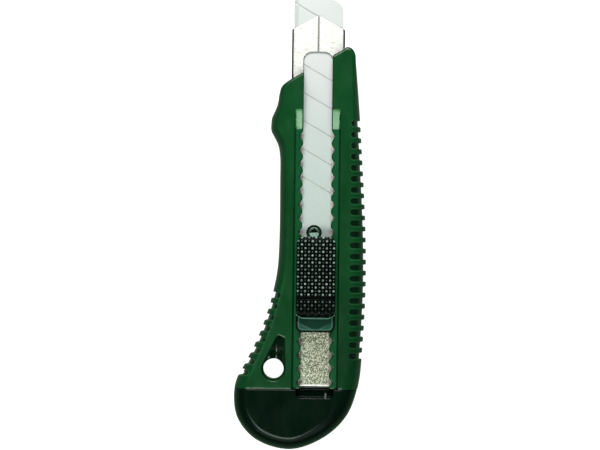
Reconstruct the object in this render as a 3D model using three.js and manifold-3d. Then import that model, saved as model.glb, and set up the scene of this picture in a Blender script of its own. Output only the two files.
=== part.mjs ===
// Snap-off utility knife with an 18 mm blade, lying on its back: +X to the palm side, +Y to the blade's tip
// and +Z to the slider. Everything is drawn from the blade channel's centreline (x = 0), the seam between
// handle and end cap (y = 0) and the flat back (z = 0). The whole knife is then moved so that the middle of
// its footprint is the origin.
import * as THREE from "three";
import { mergeVertices } from "three/addons/utils/BufferGeometryUtils.js";
import Module from "manifold-3d";

const wasm = await Module();
wasm.setup();

// ---------------------------------------------------------------- driving dimensions, millimetres
const GAP = 0.15; // clearance between parts that touch
const THICKNESS = 15; // handle, back face to front face

// How far down the side an edge's rounding reaches, from the width of its border: a narrow border is round
// and a wide one is deep. The two faces' roundings stay "keep" short of meeting.
const EDGE = { perWidth: 3.2, less: 2.2, deepest: 7.2, keep: 0.3 };

const BLADE = {
  width: 18,
  thick: 0.5,
  tip: 151, // y of the point, on the cutting edge
  sideLength: 94.8, // length of either long edge
  angle: 30, // slope of the ends and of the score lines, degrees
  firstLine: 141.7, // y where the first score line meets the cutting edge
  linePitch: 10.3,
  lines: 7,
  bevel: 1.5, // width of the ground edge
  hole: { x: -0.8, y: 57.2, r: 2.85 },
};

const RAIL = {
  sheet: 0.5,
  width: 19.4,
  height: 3.1,
  back: 6.6, // z of its outer back face
  end: 0.8, // y of its rear end
  shoulder: 131.6, // y where the pointed nose begins
  nose: 136.8, // y of the nose's point
  slotTop: 123.4,
  slotHalf: 5.25,
  slotCorner: 3.0,
  seam: 0.2, // gap between the two lips at the nose
};

const TRACK = {
  half: 5.2, // half width of the slot between the tooth tips
  toothDepth: 1.4,
  pitch: 5,
  firstNotch: 2.5, // y of the rearmost notch
  notches: 19,
  stripBottom: 11.6,
  stripTop: 13.0,
  pocketHalf: 7.6, // half width of the lock's free space under the strip
  recessHalf: 8.35, // half width of the sunken track on the front face
  rampTop: 102.3, // y where the sunken track has risen to the front face
};
TRACK.end = TRACK.firstNotch + TRACK.pitch * (TRACK.notches - 0.5); // y of the foremost tooth tip

const GRIP = { pitch: 4.045, width: 2.3, depth: 1.0, rightFirst: 97.25, rightCount: 22, rightInner: 12.2 };
GRIP.leftFirst = 34.3;
GRIP.leftCount = 8;
GRIP.leftReach = 3.2;

const HANG_HOLE = { x: -15.1, y: 7.3, r: 3.8, rim: 4.3, apexX: -12.8, apexY: 18.1, apexR: 1.65 };
HANG_HOLE.deep = 6; // depth of the teardrop at the hole
HANG_HOLE.shallow = 1.2; // and at its narrow end

const SLIDER = {
  half: 7.1, // half width of the thumb button
  front: 55.8,
  rear: 20.9,
  padEnd: 26.9,
  plateHalf: 6.2,
  neckHalf: 4.6,
  neckFront: 47.5,
  tongueFront: 62,
  tongueHalf: 9.0,
  notch: 32.5, // y of the notch that the lock sits in
  padTop: 17.4,
  padUnder: 15.6,
};

// The handle's outline with its end cap, going round anticlockwise from the front left corner: x, y and the
// width of the rounded border between the side and the flat face.
const OUTLINE = [
  [-11.9, 111.8, 1.0],
  [-13.4, 110.2, 1.4],
  [-14.1, 107.8, 2.2],
  [-14.7, 104.2, 2.7],
  [-15.8, 101.3, 2.8],
  [-16.7, 99.3, 2.9],
  [-17.0, 96.8, 3.0],
  [-16.9, 94.4, 3.0],
  [-15.8, 92.2, 3.1],
  [-14.3, 89.1, 3.1],
  [-13.6, 85.0, 3.1],
  [-13.5, 76.0, 3.1],
  [-13.5, 54.0, 3.1],
  [-14.1, 43.5, 3.1],
  [-16.2, 33.0, 3.1],
  [-20.4, 20.0, 3.2],
  [-25.1, 10.0, 3.6],
  [-28.6, 3.2, 4.3],
  [-29.6, -3.0, 4.7],
  [-28.1, -11.2, 5.0],
  [-21.3, -18.9, 5.0],
  [-8.7, -22.4, 5.0],
  [3.3, -18.2, 5.6],
  [11.8, -10.2, 6.2],
  [16.0, 1.0, 6.0],
  [17.5, 16.0, 5.8],
  [18.4, 37.0, 6.4],
  [18.1, 58.0, 6.0],
  [16.6, 84.0, 4.5],
  [15.2, 104.0, 3.1],
  [13.8, 119.0, 1.6],
  [13.4, 122.6, 1.0],
  [12.2, 124.6, 1.0],
  [10.4, 125.1, 1.0],
  [8.0, 123.7, 1.0],
  [-1.3, 118.2, 1.0],
];
const SAMPLES_PER_POINT = 3;

// ---------------------------------------------------------------- geometry helpers
function toSolid(geometry) {
  const bare = geometry.clone();
  bare.deleteAttribute("normal");
  bare.deleteAttribute("uv");
  const merged = mergeVertices(bare, 1e-4);
  return new wasm.Manifold(
    new wasm.Mesh({
      numProp: 3,
      vertProperties: merged.attributes.position.array,
      triVerts: new Uint32Array(merged.index.array),
    }),
  );
}

function toMesh(name, solid, material) {
  const made = solid.getMesh();
  const geometry = new THREE.BufferGeometry();
  geometry.setAttribute("position", new THREE.BufferAttribute(made.vertProperties.slice(), 3));
  geometry.setIndex(new THREE.BufferAttribute(made.triVerts.slice(), 1));
  const flat = geometry.toNonIndexed();
  flat.computeVertexNormals();
  const mesh = new THREE.Mesh(flat, material);
  mesh.name = name;
  return mesh;
}

// A box between two limits on each axis.
function block(x0, x1, y0, y1, z0, z1) {
  const geometry = new THREE.BoxGeometry(x1 - x0, y1 - y0, z1 - z0);
  geometry.translate((x0 + x1) / 2, (y0 + y1) / 2, (z0 + z1) / 2);
  return toSolid(geometry);
}

function polygon(points) {
  return new THREE.Shape(points.map(([x, y]) => new THREE.Vector2(x, y)));
}

// A shape in the XY plane, given as a THREE.Shape or as points, made into a plate from z0 to z1.
function plate(shape, z0, z1, curveSegments = 4) {
  const drawn = Array.isArray(shape) ? polygon(shape) : shape;
  const geometry = new THREE.ExtrudeGeometry(drawn, { depth: z1 - z0, bevelEnabled: false, curveSegments });
  geometry.translate(0, 0, z0);
  return toSolid(geometry);
}

// A profile given as points in the YZ plane, drawn out along X between x0 and x1.
function prismAcross(points, x0, x1) {
  const geometry = new THREE.ExtrudeGeometry(polygon(points), { depth: x1 - x0, bevelEnabled: false });
  // The shape's own x, y and depth become Y, Z and X.
  geometry.applyMatrix4(new THREE.Matrix4().set(0, 0, 1, x0, 1, 0, 0, 0, 0, 1, 0, 0, 0, 0, 0, 1));
  return toSolid(geometry);
}

function cylinder(x, y, r, z0, z1, sides = 24) {
  const geometry = new THREE.CylinderGeometry(r, r, z1 - z0, sides);
  geometry.rotateX(Math.PI / 2);
  geometry.translate(x, y, (z0 + z1) / 2);
  return toSolid(geometry);
}

function union(...solids) {
  return solids.reduce((whole, next) => whole.add(next));
}

function cut(solid, ...cutters) {
  return cutters.reduce((left, cutter) => left.subtract(cutter), solid);
}

// ---------------------------------------------------------------- the handle's outer form
function outlineSamples() {
  const curve = new THREE.CatmullRomCurve3(
    OUTLINE.map(([x, y, w]) => new THREE.Vector3(x, y, w)),
    true,
    "centripetal",
  );
  const points = curve.getPoints(OUTLINE.length * SAMPLES_PER_POINT);
  points.pop(); // the last point repeats the first
  return points.map((p, i) => {
    const before = points[(i + points.length - 1) % points.length];
    const after = points[(i + 1) % points.length];
    const along = new THREE.Vector2(after.x - before.x, after.y - before.y).normalize();
    return { x: p.x, y: p.y, border: p.z, outX: along.y, outY: -along.x };
  });
}

const samples = outlineSamples();

function edgeDepth(border) {
  return THREE.MathUtils.clamp(EDGE.perWidth * border - EDGE.less, border, EDGE.deepest);
}

// The handle and cap in one piece, drawn in by "inset" on every side.
function outerForm(inset) {
  const roundAngles = [0, 30, 60, 90].map(THREE.MathUtils.degToRad);
  const rings = [];
  const ring = (angle, front) =>
    samples.map((s) => {
      const border = Math.max(s.border - inset, 0.3);
      const depth = Math.min(edgeDepth(border), THICKNESS / 2 - inset - EDGE.keep);
      const back = inset + border * (1 - Math.cos(angle));
      const drop = inset + depth * (1 - Math.sin(angle));
      return [s.x - s.outX * back, s.y - s.outY * back, front ? THICKNESS - drop : drop];
    });
  for (const angle of [...roundAngles].reverse()) rings.push(ring(angle, false));
  for (const angle of roundAngles) rings.push(ring(angle, true));

  const n = samples.length;
  const faces = [];
  for (let r = 0; r < rings.length - 1; r++) {
    for (let i = 0; i < n; i++) {
      const j = (i + 1) % n;
      faces.push([r * n + i, r * n + j, (r + 1) * n + j], [r * n + i, (r + 1) * n + j, (r + 1) * n + i]);
    }
  }
  const flat = (ringPoints) => ringPoints.map(([x, y]) => new THREE.Vector2(x, y));
  for (const [a, b, c] of THREE.ShapeUtils.triangulateShape(flat(rings[0]), [])) faces.push([c, b, a]);
  const top = (rings.length - 1) * n;
  for (const [a, b, c] of THREE.ShapeUtils.triangulateShape(flat(rings.at(-1)), [])) {
    faces.push([top + a, top + b, top + c]);
  }
  const geometry = new THREE.BufferGeometry();
  geometry.setAttribute("position", new THREE.Float32BufferAttribute(rings.flat(2), 3));
  geometry.setIndex(faces.flat());
  return toSolid(geometry);
}

// x of the outline at a given y, on the right (side 1) or the left (side -1).
function edgeX(y, side) {
  const crossings = samples.flatMap((a, i) => {
    const b = samples[(i + 1) % samples.length];
    if (a.y - y > 0 === b.y - y > 0) return [];
    return [a.x + ((b.x - a.x) * (y - a.y)) / (b.y - a.y)];
  });
  return side > 0 ? Math.max(...crossings) : Math.min(...crossings);
}

// One finger groove: a slot with a round inner end, running out past the side.
function gripGroove(y, innerX, side) {
  const r = GRIP.width / 2;
  const centre = innerX + side * r;
  const out = centre + side * 12;
  const shape = new THREE.Shape();
  if (side > 0) {
    shape.absarc(centre, y, r, Math.PI / 2, (3 * Math.PI) / 2, false);
    shape.lineTo(out, y - r);
    shape.lineTo(out, y + r);
  } else {
    shape.absarc(centre, y, r, -Math.PI / 2, Math.PI / 2, false);
    shape.lineTo(out, y + r);
    shape.lineTo(out, y - r);
  }
  shape.closePath();
  return plate(shape, -1, THICKNESS + 1, 3);
}

function gripGrooves() {
  const grooves = [];
  for (let i = 0; i < GRIP.rightCount; i++) {
    grooves.push(gripGroove(GRIP.rightFirst - i * GRIP.pitch, GRIP.rightInner, 1));
  }
  for (let i = 0; i < GRIP.leftCount; i++) {
    const y = GRIP.leftFirst - i * GRIP.pitch;
    grooves.push(gripGroove(y, edgeX(y, -1) + GRIP.leftReach, -1));
  }
  return union(...grooves).subtract(outerForm(GRIP.depth));
}

// The teardrop recess that leads a cord into the hang hole, on the front or on the back.
function teardrop(front) {
  const h = HANG_HOLE;
  const dx = h.apexX - h.x;
  const dy = h.apexY - h.y;
  const lean = Math.atan2(dy, dx);
  const half = Math.acos((h.rim - h.apexR) / Math.hypot(dx, dy));
  const shape = new THREE.Shape();
  shape.absarc(h.x, h.y, h.rim, lean + half, lean - half, false);
  shape.absarc(h.apexX, h.apexY, h.apexR, lean - half, lean + half, false);
  shape.closePath();
  const whole = plate(shape, -1, THICKNESS + 1, 8);
  const top = h.apexY + h.apexR + 1;
  const floor = [
    [h.y - 8, THICKNESS - h.deep],
    [h.y + h.r, THICKNESS - h.deep],
    [top, THICKNESS - h.shallow],
    [top, THICKNESS + 2],
    [h.y - 8, THICKNESS + 2],
  ];
  const profile = front ? floor : floor.map(([y, z]) => [y, THICKNESS - z]).reverse();
  return whole.intersect(prismAcross(profile, h.x - 8, h.x + 8));
}

// The slot between the two toothed strips: round-topped teeth with a sharp notch between each two.
function toothedSlot() {
  const stepsPerPitch = 8;
  const steps = TRACK.notches * stepsPerPitch;
  const right = [[TRACK.half, -2]];
  for (let i = 0; i <= steps; i++) {
    const y = TRACK.firstNotch + TRACK.pitch * (i / stepsPerPitch - 0.5);
    const rise = Math.abs(Math.sin((Math.PI * (y - TRACK.firstNotch)) / TRACK.pitch));
    right.push([TRACK.half + TRACK.toothDepth * (1 - rise), y]);
  }
  right.push([TRACK.half, 140]);
  const left = right.map(([x, y]) => [-x, y]).reverse();
  return plate([...right, ...left], TRACK.stripBottom - 1, THICKNESS + 1);
}

function sunkenTrack() {
  const profile = [
    [-2, TRACK.stripTop],
    [TRACK.end, TRACK.stripTop],
    [TRACK.rampTop, THICKNESS],
    [TRACK.rampTop, THICKNESS + 1],
    [-2, THICKNESS + 1],
  ];
  return prismAcross(profile, -TRACK.recessHalf, TRACK.recessHalf);
}

// Where the cap's tongue and pegs go into the rear of the handle: x0, x1, length, z0, z1.
const CAP_PEGS = [
  [-8.5, 8.5, 13, 2.8, 5.2],
  [-26.2, -21.0, 5.5, 4.2, 10.8],
  [10.6, 13.4, 8, 4.2, 10.8],
];

function handleBody() {
  const railHalf = RAIL.width / 2 + GAP;
  const railTop = RAIL.back + RAIL.height + GAP;
  const sockets = CAP_PEGS.map(([x0, x1, length, z0, z1]) =>
    block(x0 - GAP, x1 + GAP, -1, length + 0.5, z0 - GAP, z1 + GAP),
  );
  return cut(
    outerForm(0),
    block(-60, 60, -60, GAP / 2, -1, THICKNESS + 1),
    gripGrooves(),
    sunkenTrack(),
    toothedSlot(),
    block(-railHalf, railHalf, -1, 140, RAIL.back - GAP, railTop),
    block(-TRACK.pocketHalf, TRACK.pocketHalf, -1, TRACK.end + 1, railTop - 0.5, TRACK.stripBottom),
    block(-TRACK.half, TRACK.half, TRACK.end, 140, railTop - 0.5, TRACK.stripBottom),
    cylinder(HANG_HOLE.x, HANG_HOLE.y, HANG_HOLE.r, -1, THICKNESS + 1, 28),
    teardrop(true),
    teardrop(false),
    ...sockets,
  );
}

// The end cap closes the handle. A window in its front face carries on the track behind the seam.
function endCap() {
  const windowHalf = 6.75;
  const corner = 1.5;
  const bottom = -3.1;
  const windowFloor = 6;
  const shape = new THREE.Shape();
  shape.moveTo(windowHalf, 1);
  shape.lineTo(-windowHalf, 1);
  shape.lineTo(-windowHalf, bottom + corner);
  shape.absarc(-windowHalf + corner, bottom + corner, corner, Math.PI, 1.5 * Math.PI, false);
  shape.absarc(windowHalf - corner, bottom + corner, corner, 1.5 * Math.PI, 2 * Math.PI, false);
  shape.closePath();
  const body = cut(
    outerForm(0),
    block(-60, 60, -GAP / 2, 160, -1, THICKNESS + 1),
    plate(shape, windowFloor, THICKNESS + 1),
  );
  const pegs = CAP_PEGS.map(([x0, x1, length, z0, z1]) => block(x0, x1, -2, length, z0, z1));
  const windowRib = block(3.8, 4.3, bottom - 0.5, -1.5, windowFloor - 0.5, 13);
  return union(body, ...pegs, windowRib);
}

// ---------------------------------------------------------------- steel parts
// Sheet folded into a flat channel: its lips nearly meet at the pointed nose and leave a slot behind it.
function guideRail() {
  const half = RAIL.width / 2;
  const top = RAIL.back + RAIL.height;
  const pointed = [
    [-half, RAIL.end],
    [half, RAIL.end],
    [half, RAIL.shoulder],
    [0, RAIL.nose],
    [-half, RAIL.shoulder],
  ];
  const slot = new THREE.Shape();
  const cornerX = RAIL.slotHalf - RAIL.slotCorner;
  const cornerY = RAIL.slotTop - RAIL.slotCorner;
  slot.moveTo(-RAIL.slotHalf, RAIL.end - 1);
  slot.lineTo(RAIL.slotHalf, RAIL.end - 1);
  slot.absarc(cornerX, cornerY, RAIL.slotCorner, 0, Math.PI / 2, false);
  slot.absarc(-cornerX, cornerY, RAIL.slotCorner, Math.PI / 2, Math.PI, false);
  slot.closePath();
  const inside = half - RAIL.sheet;
  return cut(
    plate(pointed, RAIL.back, top),
    block(-inside, inside, RAIL.end - 1, RAIL.nose + 1, RAIL.back + RAIL.sheet, top - RAIL.sheet),
    plate(slot, top - RAIL.sheet - 0.5, top + 1, 5),
    block(-RAIL.seam / 2, RAIL.seam / 2, RAIL.slotTop - 1, RAIL.nose + 1, top - RAIL.sheet - 0.5, top + 1),
  );
}

const railInsideBack = RAIL.back + RAIL.sheet;
const railLipUnder = RAIL.back + RAIL.height - RAIL.sheet;
const bladeTop = railLipUnder - 0.25;
const bladeUnder = bladeTop - BLADE.thick;

// The blade: ground on its left edge, both ends on the slope of the score lines.
function snapOffBlade() {
  const half = BLADE.width / 2;
  const slope = Math.tan(THREE.MathUtils.degToRad(BLADE.angle));
  const fall = BLADE.width * slope;
  const middle = (bladeTop + bladeUnder) / 2;
  const outline = [
    [-half, BLADE.tip - BLADE.sideLength],
    [half, BLADE.tip - BLADE.sideLength - fall],
    [half, BLADE.tip - fall],
    [-half, BLADE.tip],
  ];
  const edge = 0.03; // flat left on the sharp edge
  const grind = (side) => {
    const z = side > 0 ? bladeTop : bladeUnder;
    const points = [
      [-half - 1, middle + (side * edge) / 2],
      [-half, middle + (side * edge) / 2],
      [-half + BLADE.bevel, z],
      [-half + BLADE.bevel, z + side],
      [-half - 1, z + side],
    ];
    // The profile lies in the XZ plane and is drawn out along Y.
    const shape = polygon(side > 0 ? points : [...points].reverse());
    const geometry = new THREE.ExtrudeGeometry(shape, { depth: 140, bevelEnabled: false });
    geometry.rotateX(Math.PI / 2);
    geometry.translate(0, 170, 0);
    return toSolid(geometry);
  };
  const scoreLine = (i) => {
    const y = BLADE.firstLine - i * BLADE.linePitch;
    const wide = 0.3;
    const reach = half + 1;
    return plate(
      [
        [-reach, y + slope - wide / 2],
        [reach, y + slope - 2 * reach * slope - wide / 2],
        [reach, y + slope - 2 * reach * slope + wide / 2],
        [-reach, y + slope + wide / 2],
      ],
      bladeTop - 0.12,
      bladeTop + 1,
    );
  };
  return cut(
    plate(outline, bladeUnder, bladeTop),
    grind(1),
    grind(-1),
    ...Array.from({ length: BLADE.lines }, (_, i) => scoreLine(i)),
    cylinder(BLADE.hole.x, BLADE.hole.y, BLADE.hole.r, bladeUnder - 1, bladeTop + 1),
  );
}

// The steel stud that the blade hooks on: riveted in the carrier, with a three-sided socket in its head.
const STUD = { shank: 1.6, head: 2.15, top: 9.6, edge: 0.3 };
STUD.socket = { half: 1.5, length: 1.9, depth: 0.7 };

function bladeStud() {
  const profile = [
    [0, railInsideBack + 0.15],
    [STUD.shank, railInsideBack + 0.15],
    [STUD.shank, bladeUnder - 0.05],
    [STUD.head, bladeUnder - 0.05],
    [STUD.head, STUD.top - STUD.edge],
    [STUD.head - STUD.edge, STUD.top],
    [0, STUD.top],
  ];
  const geometry = new THREE.LatheGeometry(
    profile.map(([r, z]) => new THREE.Vector2(r, z)),
    24,
  );
  geometry.rotateX(Math.PI / 2);
  const { x, y } = BLADE.hole;
  geometry.translate(x, y, 0);
  const { half, length, depth } = STUD.socket;
  const socket = [
    [x - half, y],
    [x + half, y],
    [x, y + length],
  ];
  return toSolid(geometry).subtract(plate(socket, STUD.top - depth, STUD.top + 1));
}

// Leaf that locks the slider: it is clamped at its front, and its two ears sit in a notch on each side. The
// button bends it down, and the ears go under the toothed strips.
const LEAF = { thick: 0.5, rootFront: 46, rootRear: 41, earZ: 12.1, rootZ: 10.35, rear: 29.5, half: 3.6 };

function lockSpring() {
  const t = LEAF.thick;
  const strip = prismAcross(
    [
      [LEAF.rear, LEAF.earZ],
      [37, LEAF.earZ],
      [LEAF.rootRear, LEAF.rootZ],
      [LEAF.rootFront, LEAF.rootZ],
      [LEAF.rootFront, LEAF.rootZ + t],
      [LEAF.rootRear + 0.2, LEAF.rootZ + t],
      [37.2, LEAF.earZ + t],
      [LEAF.rear, LEAF.earZ + t],
    ],
    -LEAF.half,
    LEAF.half,
  );
  const earRoot = 1.35; // half length of an ear where it leaves the strip
  const earTip = 0.3; // and at its tip
  const tipX = 5.95;
  const ear = (side) => {
    const points = [
      [side * 3, SLIDER.notch - earRoot],
      [side * 4.75, SLIDER.notch - earRoot],
      [side * tipX, SLIDER.notch - earTip],
      [side * tipX, SLIDER.notch + earTip],
      [side * 4.75, SLIDER.notch + earRoot],
      [side * 3, SLIDER.notch + earRoot],
    ];
    return plate(side > 0 ? points : [...points].reverse(), LEAF.earZ, LEAF.earZ + t);
  };
  return union(strip, ear(1), ear(-1));
}

// ---------------------------------------------------------------- slider parts
// The carrier runs in the rail with the blade on its tongue, and rises through the slot to a plate for the
// button.
const CARRIER = { plateUnder: 13.15, plateTop: 14.2, plateFront: 54.4, pocketRear: 27.6 };
CARRIER.pocketFront = 41.2;

function sliderCarrier() {
  const tongueTop = bladeUnder - 0.1;
  const under = railInsideBack + 0.1;
  const s = SLIDER;
  const c = CARRIER;
  const tongue = block(-s.tongueHalf, s.tongueHalf, c.pocketRear - 4, s.tongueFront, under, tongueTop);
  const neck = block(-s.neckHalf, s.neckHalf, c.pocketRear - 4, s.neckFront, under, c.plateTop);
  const plateCorner = 2.7;
  const topPlate = plate(
    [
      [-s.plateHalf, s.padEnd - 0.5],
      [s.plateHalf, s.padEnd - 0.5],
      [s.plateHalf, c.plateFront - plateCorner],
      [s.plateHalf - plateCorner, c.plateFront],
      [plateCorner - s.plateHalf, c.plateFront],
      [-s.plateHalf, c.plateFront - plateCorner],
    ],
    c.plateUnder,
    c.plateTop,
  );
  // The tail shows behind the button: as wide as the button, lower than it, its two corners taken off.
  const tailCorner = 2.6;
  const tailTop = 15.7;
  const tailRearTop = 14.8;
  const tailOutline = [
    [-s.half, s.padEnd - 0.3],
    [-s.half, s.rear + tailCorner],
    [-s.half + tailCorner, s.rear],
    [s.half - tailCorner, s.rear],
    [s.half, s.rear + tailCorner],
    [s.half, s.padEnd - 0.3],
  ];
  const tailProfile = [
    [s.rear - 1, c.plateUnder],
    [s.padEnd, c.plateUnder],
    [s.padEnd, tailTop],
    [s.padEnd - 0.8, tailTop],
    [s.rear, tailRearTop],
    [s.rear - 1, tailRearTop],
  ];
  const tailFall = prismAcross(tailProfile, -s.half - 1, s.half + 1);
  const tail = plate(tailOutline, c.plateUnder, 17).intersect(tailFall);
  const nib = block(-0.7, 0.7, s.rear - 0.4, s.rear + 0.5, c.plateUnder, c.plateUnder + 1.1);
  const pocketHalf = s.neckHalf + 1;
  const pocket = block(-pocketHalf, pocketHalf, c.pocketRear, c.pocketFront, tongueTop + 0.4, c.plateUnder);
  const stemWindow = block(-4.6, 4.6, c.pocketRear, c.pocketFront, c.plateUnder - 1, c.plateTop + 1);
  const slitTop = LEAF.rootZ + LEAF.thick + 0.2;
  const slit = block(-4, 4, c.pocketFront - 1, LEAF.rootFront + 0.4, LEAF.rootZ - 0.2, slitTop);
  const studHole = cylinder(BLADE.hole.x, BLADE.hole.y, STUD.shank + 0.1, under - 1, tongueTop + 1);
  return cut(union(tongue, neck, topPlate, tail, nib), pocket, stemWindow, slit, studHole);
}

// The thumb button: a shallow cap over the carrier's plate, with a stem that presses on the leaf.
function thumbButton() {
  const s = SLIDER;
  const frontCorner = 3.2;
  const capOutline = (grow) => {
    const half = s.half + grow;
    const front = s.front + grow;
    const shape = new THREE.Shape();
    shape.moveTo(-half, s.padEnd);
    shape.lineTo(half, s.padEnd);
    shape.lineTo(half, front - frontCorner);
    shape.absarc(half - frontCorner, front - frontCorner, frontCorner, 0, Math.PI / 2, false);
    shape.absarc(-half + frontCorner, front - frontCorner, frontCorner, Math.PI / 2, Math.PI, false);
    shape.closePath();
    return shape;
  };
  const skirtBottom = 14.4;
  const endRound = 1.2; // fall of the pad's surface at its front and rear ends
  const side = [
    [s.padEnd, skirtBottom],
    [s.front, skirtBottom],
    [s.front, s.padTop - endRound],
    [s.front - 1.2, s.padTop - 0.35],
    [s.front - 3.5, s.padTop],
    [s.padEnd + 6.5, s.padTop],
    [s.padEnd + 2, s.padTop - 0.6],
    [s.padEnd, s.padTop - endRound],
  ];
  const sideForm = prismAcross(side, -s.half - 1, s.half + 1);
  const cap = plate(capOutline(0), skirtBottom, s.padTop, 5).intersect(sideForm);
  const hollow = plate(capOutline(-0.7), skirtBottom - 1, s.padUnder, 5).add(
    block(-s.half + 0.7, s.half - 0.7, s.padEnd - 1, s.padEnd + 1, skirtBottom - 1, s.padUnder),
  );
  const stem = block(-4.1, 4.1, 28.4, 39.4, LEAF.earZ + LEAF.thick + 0.05, s.padUnder + 0.3);
  return cap.subtract(hollow).add(stem);
}

// ---------------------------------------------------------------- assembly
const plastic = (color, roughness) => new THREE.MeshStandardMaterial({ color, roughness, metalness: 0 });
const steel = (color, roughness) => new THREE.MeshStandardMaterial({ color, roughness, metalness: 1 });
const greenAbs = plastic(0x14552c, 0.3);
const darkGreenAbs = plastic(0x071f15, 0.25);
const blackNylon = plastic(0x0b100e, 0.4);
const sheetSteel = steel(0xc9c6b4, 0.35);
const bladeSteel = steel(0xd6dbd8, 0.25);
const springSteel = steel(0x9a9c98, 0.35);

const knife = new THREE.Group();
knife.add(
  toMesh("handle_body", handleBody(), greenAbs),
  toMesh("end_cap", endCap(), darkGreenAbs),
  toMesh("blade_guide_rail", guideRail(), sheetSteel),
  toMesh("snap_off_blade", snapOffBlade(), bladeSteel),
  toMesh("blade_stud", bladeStud(), springSteel),
  toMesh("slider_carrier", sliderCarrier(), blackNylon),
  toMesh("thumb_button", thumbButton(), blackNylon),
  toMesh("lock_spring", lockSpring(), springSteel),
);

// The origin is the middle of the knife's footprint, on the surface it lies on.
const footprint = new THREE.Box3().setFromObject(knife);
const centre = footprint.getCenter(new THREE.Vector3());
knife.position.set(-centre.x, -centre.y, -footprint.min.z);

export default knife;
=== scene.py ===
"""Snap-off knife: the looks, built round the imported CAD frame.

Shapes are worked out in millimetres in the drawing frame that the CAD uses too: x = 0 on the blade
channel's centreline, y = 0 at the seam between handle and cap, z = 0 on the flat back. Moulded pieces
are signed fields, negative inside, which skin() turns into meshes with real fillets. mesh_object()
puts every mesh into the row frame.
"""
import math

import bmesh
import bpy
import numpy as np
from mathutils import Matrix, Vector

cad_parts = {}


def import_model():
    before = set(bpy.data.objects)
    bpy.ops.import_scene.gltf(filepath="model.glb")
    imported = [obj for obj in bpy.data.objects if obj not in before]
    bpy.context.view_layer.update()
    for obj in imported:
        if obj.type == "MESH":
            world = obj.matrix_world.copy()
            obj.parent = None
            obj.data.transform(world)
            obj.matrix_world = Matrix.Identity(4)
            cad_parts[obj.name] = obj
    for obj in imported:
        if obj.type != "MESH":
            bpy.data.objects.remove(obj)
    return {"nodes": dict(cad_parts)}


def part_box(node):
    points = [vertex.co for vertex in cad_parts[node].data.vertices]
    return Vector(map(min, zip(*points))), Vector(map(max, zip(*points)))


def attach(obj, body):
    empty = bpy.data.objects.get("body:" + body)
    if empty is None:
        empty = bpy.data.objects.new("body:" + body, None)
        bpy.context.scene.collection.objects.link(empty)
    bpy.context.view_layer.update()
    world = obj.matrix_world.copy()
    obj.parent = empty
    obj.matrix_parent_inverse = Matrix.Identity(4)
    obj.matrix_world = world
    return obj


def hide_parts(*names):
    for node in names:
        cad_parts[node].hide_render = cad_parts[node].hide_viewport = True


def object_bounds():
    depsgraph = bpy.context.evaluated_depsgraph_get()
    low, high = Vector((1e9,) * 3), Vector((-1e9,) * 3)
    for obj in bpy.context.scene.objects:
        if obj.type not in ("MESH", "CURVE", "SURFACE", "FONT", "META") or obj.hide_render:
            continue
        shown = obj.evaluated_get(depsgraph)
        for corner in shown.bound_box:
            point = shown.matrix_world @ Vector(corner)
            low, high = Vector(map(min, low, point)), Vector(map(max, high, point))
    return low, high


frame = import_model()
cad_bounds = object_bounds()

MM = 0.001
RAIL_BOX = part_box("blade_guide_rail")
HANDLE_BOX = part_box("handle_body")
SEAM_GAP = 0.15
ORIGIN = np.array([
    (RAIL_BOX[0].x + RAIL_BOX[1].x) / 2,
    HANDLE_BOX[0].y - SEAM_GAP / 2 * MM,
    HANDLE_BOX[0].z,
])

# ------------------------------------------------------------------ dimensions, millimetres
THICKNESS = 15.0
MIDDLE = THICKNESS / 2
EDGE = {"per_width": 3.2, "less": 2.2, "deepest": 7.2}

# The outline of handle and cap, anticlockwise from the front left: x, y, width of the rounded border.
OUTLINE = [
    (-11.9, 111.8, 1.0),
    (-13.4, 110.2, 1.4),
    (-14.1, 107.8, 2.2),
    (-14.7, 104.2, 2.7),
    (-15.8, 101.3, 2.8),
    (-16.7, 99.3, 2.9),
    (-17.0, 96.8, 3.0),
    (-16.9, 94.4, 3.0),
    (-15.8, 92.2, 3.1),
    (-14.3, 89.1, 3.1),
    (-13.6, 85.0, 3.1),
    (-13.5, 76.0, 3.1),
    (-13.5, 54.0, 3.1),
    (-14.1, 43.5, 3.1),
    (-16.2, 33.0, 3.1),
    (-20.4, 20.0, 3.2),
    (-25.1, 10.0, 3.6),
    (-28.6, 3.2, 4.3),
    (-29.6, -3.0, 4.7),
    (-28.1, -11.2, 5.0),
    (-21.3, -18.9, 5.0),
    (-8.7, -22.4, 5.0),
    (3.3, -18.2, 5.6),
    (11.8, -10.2, 6.2),
    (16.0, 1.0, 6.0),
    (17.5, 16.0, 5.8),
    (18.4, 37.0, 6.4),
    (18.1, 58.0, 6.0),
    (16.6, 84.0, 4.5),
    (15.2, 104.0, 3.1),
    (13.8, 119.0, 1.6),
    (13.4, 122.6, 1.0),
    (12.2, 124.6, 1.0),
    (10.4, 125.1, 1.0),
    (8.0, 123.7, 1.0),
    (-1.3, 118.2, 1.0),
]

STRIP_BOTTOM, STRIP_TOP = 11.6, 13.0
RECESS_HALF, RECESS_DRAFT = 8.35, 0.22
RAMP_START, RAMP_END = 95.0, 102.3
SLOT_HALF, SLOT_FLOOR = 5.2, 9.0
TOOTH_DEPTH, TOOTH_PITCH, FIRST_NOTCH = 1.4, 5.0, 2.5
EAR_POCKET = {"half": 7.6, "middle": 10.3, "front": 96}
GUIDE_ROOM = {"half": 9.85, "middle": 8.15, "half_height": 1.7}

RIB_PITCH, RIB_SLOT, RIB_DEPTH = 4.045, 2.3, 1.0
RIGHT_RIBS = {"first": 97.25, "count": 22, "inner": 12.2}
LEFT_RIBS = {"first": 34.3, "count": 8, "reach": 3.2}

HOLE = {"x": -15.1, "y": 7.3, "r": 3.75, "rim": 4.3}
HOLE_APEX = {"x": -12.8, "y": 18.1, "r": 1.65}
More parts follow.
